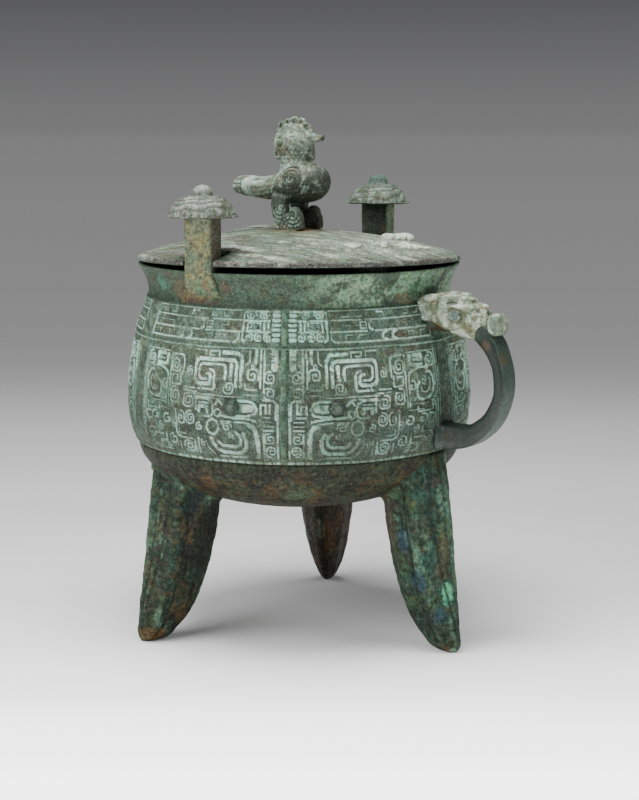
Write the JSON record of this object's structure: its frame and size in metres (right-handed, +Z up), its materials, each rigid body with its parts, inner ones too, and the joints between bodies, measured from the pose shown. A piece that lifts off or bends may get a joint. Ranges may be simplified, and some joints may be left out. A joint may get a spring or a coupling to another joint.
{
  "type": "lidded tripod wine vessel",
  "caption": "Cast bronze wine vessel on blade-like legs: round bowl with relief masks, loop handle under an animal head, capped rim posts, and a loose domed lid with a crested bird.",
  "frame": {"origin": "on the floor under the middle of the object's box, 21.5 mm from the bowl's axis towards the handle", "axes": "+Z up along the bowl's axis, +X towards the handle, the two rim posts towards +Y and -Y"},
  "size_m": [0.2847, 0.2532, 0.3546],
  "materials": {
    "green_patina": "matt green and brown corrosion over cast bronze",
    "pale_patina": "matt pale grey-green corrosion over cast bronze"
  },
  "bodies": {
    "root": {"vessel": "green_patina", "lid": "pale_patina"}
  },
  "joints": []
}
